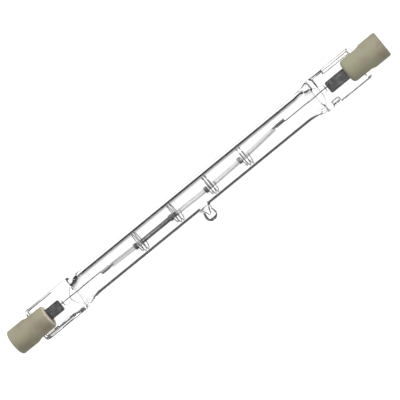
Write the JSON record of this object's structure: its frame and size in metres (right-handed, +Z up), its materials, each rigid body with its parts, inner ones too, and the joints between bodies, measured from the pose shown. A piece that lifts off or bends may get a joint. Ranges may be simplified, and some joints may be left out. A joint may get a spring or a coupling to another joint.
{
  "type": "linear halogen bulb",
  "caption": "Clear double-ended linear halogen bulb: quartz tube with flat pinched ends, a coiled filament on wire supports, foil seals and slotted ceramic caps.",
  "frame": {"origin": "on the surface that the lamp lies on, at the middle of the ground it covers, below the tube", "axes": "+X along the lamp towards its right end, +Z up from the surface, the exhaust tip pointing towards -Y and down"},
  "size_m": [0.1176, 0.0116, 0.008],
  "materials": {
    "quartz": "gloss",
    "steatite": "matte",
    "cement": "matte",
    "contact_metal": "satin",
    "molybdenum_foil": "satin",
    "molybdenum": "satin",
    "tungsten": "satin"
  },
  "bodies": {
    "root": {"cap_cement_left": "cement", "cap_cement_right": "cement", "ceramic_cap_left": "steatite", "ceramic_cap_right": "steatite", "contact_left": "contact_metal", "contact_right": "contact_metal", "filament": "tungsten", "filament_support_1": "tungsten", "filament_support_2": "tungsten", "filament_support_3": "tungsten", "filament_support_4": "tungsten", "foil_left": "molybdenum_foil", "foil_right": "molybdenum_foil", "inner_lead_left": "molybdenum", "inner_lead_right": "molybdenum", "outer_lead_left": "molybdenum", "outer_lead_right": "molybdenum", "quartz_envelope": "quartz"}
  },
  "joints": []
}
